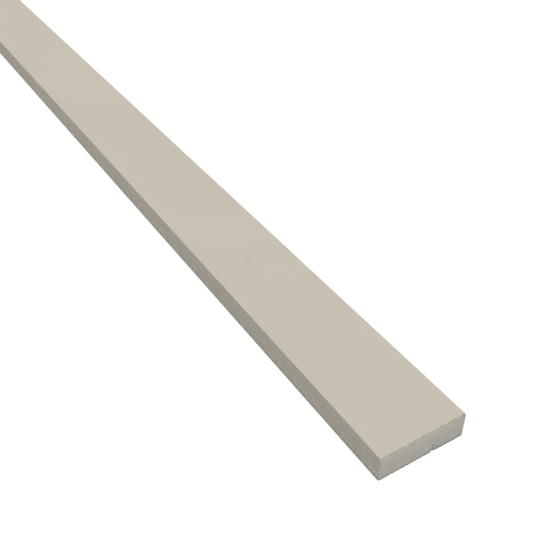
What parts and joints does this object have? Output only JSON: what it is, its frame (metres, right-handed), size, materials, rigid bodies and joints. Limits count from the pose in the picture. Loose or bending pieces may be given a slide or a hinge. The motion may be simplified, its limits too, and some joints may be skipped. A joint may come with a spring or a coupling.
{
  "type": "fibre cement batten trim",
  "caption": "Long flat batten of fibre cement with eased edges and a painted face, square cut at the ends, nailed over panel joints or used as trim on a wall.",
  "frame": {"origin": "middle of the flat back face, halfway along the batten", "axes": "+X along the batten towards the chipped end, +Y across its width, +Z out of the painted face"},
  "size_m": [3.6576, 0.0636, 0.0191],
  "materials": {
    "painted_fibre_cement": "matte beige factory paint on the face and long edges, raw grey fibre cement on the cut ends and the back"
  },
  "bodies": {
    "root": {"batten": "painted_fibre_cement"}
  },
  "joints": []
}
